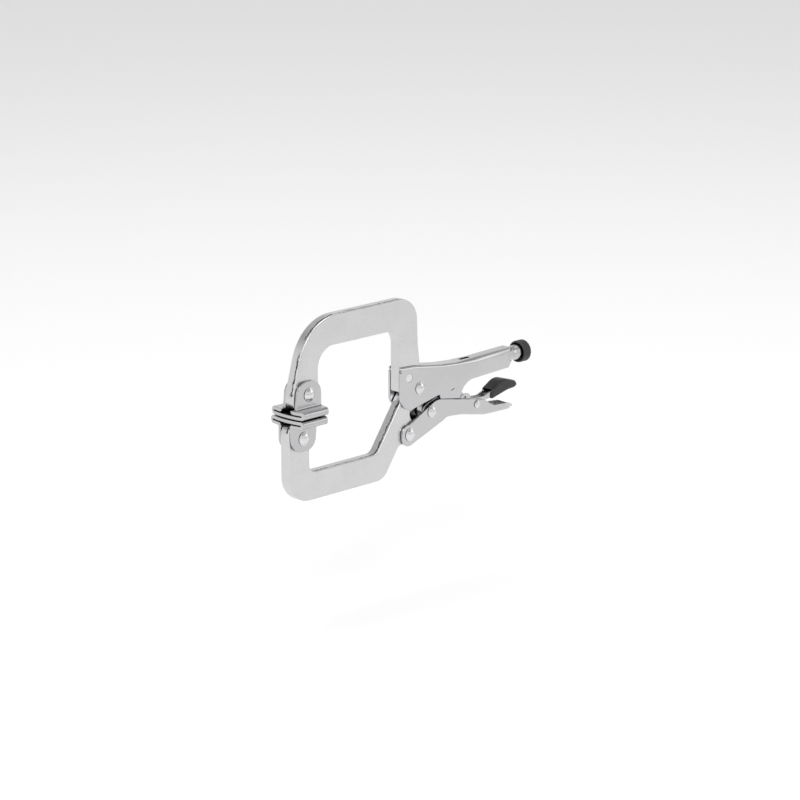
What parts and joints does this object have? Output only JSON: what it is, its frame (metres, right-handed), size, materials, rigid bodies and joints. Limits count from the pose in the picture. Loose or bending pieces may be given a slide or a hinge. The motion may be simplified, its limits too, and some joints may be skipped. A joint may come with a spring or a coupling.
{
  "type": "locking pliers",
  "caption": "Locking C-clamp pliers: two deep C arms with swivel pads, a toggle lever with a black release grip, and an adjusting screw with a black knob.",
  "frame": {"origin": "below the middle of the tool, at the height of the lower arm's flat underside, on the mid-plane of the plates", "axes": "+X along the handles from the pads towards the adjusting knob, +Z from the lower C arm towards the upper one, +Y through the thickness of the plates, away from the side seen in the picture"},
  "size_m": [0.28, 0.038, 0.149],
  "materials": {
    "forged_steel": "satin nickel plate over forged steel",
    "pressed_steel": "bright nickel plate over pressed sheet",
    "pad_steel": "bright nickel plate over folded sheet",
    "rivet_steel": "polished domed heads",
    "spring_steel": "plain steel, lightly oiled",
    "black_plastic": "satin black moulding"
  },
  "bodies": {
    "handle": {"fixed_handle": "pressed_steel", "fixed_jaw_arm": "forged_steel", "fixed_arm_rivet": "rivet_steel", "jaw_pivot_rivet": "rivet_steel", "upper_pad_rivet": "rivet_steel", "tension_spring": "spring_steel"},
    "moving_jaw": {"moving_jaw_arm": "forged_steel", "lower_pad_rivet": "rivet_steel"},
    "lever": {"hand_lever": "pressed_steel", "lever_pivot_rivet": "rivet_steel", "link_rivet": "rivet_steel", "release_lever_rivet": "rivet_steel"},
    "link": {"toggle_link": "forged_steel"},
    "release": {"release_lever": "pressed_steel", "release_grip": "black_plastic"},
    "upper_pad": {"upper_swivel_pad": "pad_steel"},
    "lower_pad": {"lower_swivel_pad": "pad_steel"},
    "screw": {"adjusting_screw": "spring_steel"},
    "knob": {"adjusting_knob": "black_plastic"}
  },
  "joints": [
    {"name": "jaw_opening", "type": "hinge", "parent": "handle", "child": "moving_jaw", "pos_m": [0.00595, 0, 0.0712], "axis": [0, -1, 0], "range_deg": [0, 34], "deforming": ["tension_spring"]},
    {"name": "lever_swing", "type": "hinge", "parent": "moving_jaw", "child": "lever", "pos_m": [-0.00575, 0, 0.0337], "axis": [0, -1, 0], "range_deg": [-83, 0]},
    {"name": "link_swing", "type": "hinge", "parent": "lever", "child": "link", "pos_m": [0.02015, 0, 0.0484], "axis": [0, -1, 0], "range_deg": [0, 84]},
    {"name": "upper_pad_tilt", "type": "hinge", "parent": "handle", "child": "upper_pad", "pos_m": [-0.12025, 0, 0.0894], "axis": [0, -1, 0], "range_deg": [0, 17]},
    {"name": "lower_pad_tilt", "type": "hinge", "parent": "moving_jaw", "child": "lower_pad", "pos_m": [-0.12625, 0, 0.0542], "axis": [0, -1, 0], "range_deg": [-17, 0]},
    {"name": "release_press", "type": "hinge", "parent": "lever", "child": "release", "pos_m": [0.07435, 0, 0.0445], "axis": [0, 1, 0], "range_deg": [0, 6]},
    {"name": "screw_travel", "type": "slide", "parent": "handle", "child": "screw", "axis": [1, 0, 0], "range_m": [0, 0.015]},
    {"name": "knob_turn", "type": "hinge", "parent": "screw", "child": "knob", "pos_m": [0.13595, 0, 0.0787], "axis": [1, 0, 0], "range_deg": [0, 4320]}
  ],
  "couplings": [
    {"joint": "lever_swing", "follows": "jaw_opening", "ratio": -2.435},
    {"joint": "link_swing", "follows": "jaw_opening", "ratio": 2.46},
    {"joint": "upper_pad_tilt", "follows": "jaw_opening", "ratio": 0.5},
    {"joint": "lower_pad_tilt", "follows": "jaw_opening", "ratio": -0.5},
    {"joint": "knob_turn", "follows": "screw_travel", "rad_per_m": 5026.5}
  ]
}
